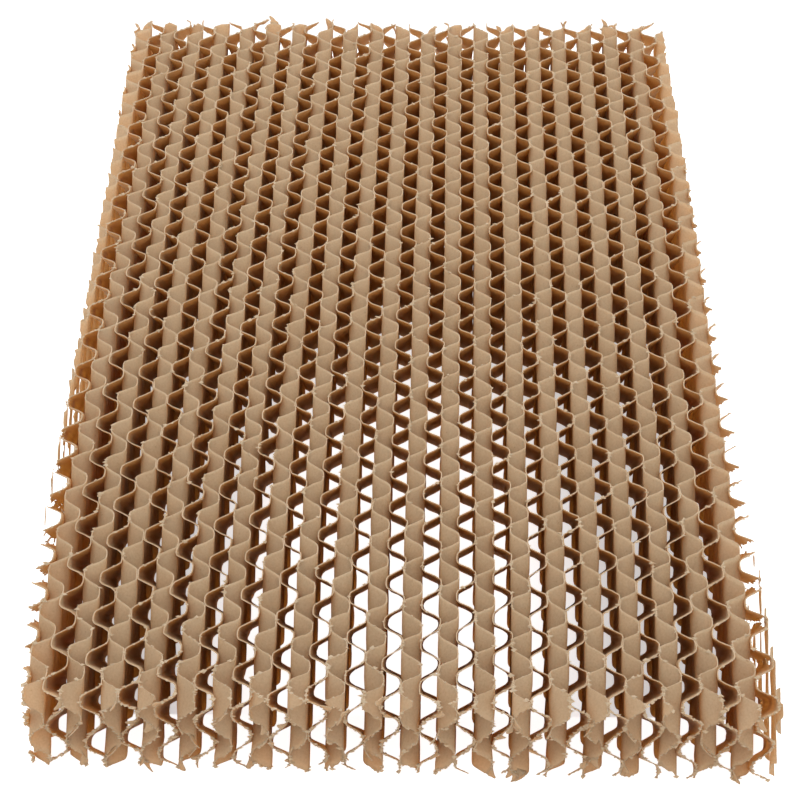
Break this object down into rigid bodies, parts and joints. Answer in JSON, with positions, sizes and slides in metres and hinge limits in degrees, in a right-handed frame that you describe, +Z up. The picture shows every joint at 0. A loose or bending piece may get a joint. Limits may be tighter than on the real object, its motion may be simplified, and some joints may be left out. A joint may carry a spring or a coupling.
{
  "type": "evaporative cooling pad",
  "caption": "Rectangular block of cross-fluted kraft paper sheets on edge, glued where crests cross, that is wetted to cool air drawn through its flutes.",
  "frame": {"origin": "middle of the bottom face on which the pad lies", "axes": "+Z up through the thickness, the way the air goes; +Y along the length of the pad; +X across the sheets"},
  "size_m": [0.2854, 0.505, 0.038],
  "materials": {
    "kraft_paper": "matte, resin-stiffened, unbleached"
  },
  "bodies": {
    "root": {"sheet_01": "kraft_paper", "sheet_02": "kraft_paper", "sheet_03": "kraft_paper", "sheet_04": "kraft_paper", "sheet_05": "kraft_paper", "sheet_06": "kraft_paper", "sheet_07": "kraft_paper", "sheet_08": "kraft_paper", "sheet_09": "kraft_paper", "sheet_10": "kraft_paper", "sheet_11": "kraft_paper", "sheet_12": "kraft_paper", "sheet_13": "kraft_paper", "sheet_14": "kraft_paper", "sheet_15": "kraft_paper", "sheet_16": "kraft_paper", "sheet_17": "kraft_paper", "sheet_18": "kraft_paper", "sheet_19": "kraft_paper", "sheet_20": "kraft_paper", "sheet_21": "kraft_paper", "sheet_22": "kraft_paper", "sheet_23": "kraft_paper", "sheet_24": "kraft_paper", "sheet_25": "kraft_paper", "sheet_26": "kraft_paper", "sheet_27": "kraft_paper", "sheet_28": "kraft_paper", "sheet_29": "kraft_paper", "sheet_30": "kraft_paper", "sheet_31": "kraft_paper", "sheet_32": "kraft_paper", "sheet_33": "kraft_paper", "sheet_34": "kraft_paper", "sheet_35": "kraft_paper", "sheet_36": "kraft_paper", "sheet_37": "kraft_paper", "sheet_38": "kraft_paper", "sheet_39": "kraft_paper", "sheet_40": "kraft_paper", "sheet_41": "kraft_paper", "sheet_42": "kraft_paper"}
  },
  "joints": []
}
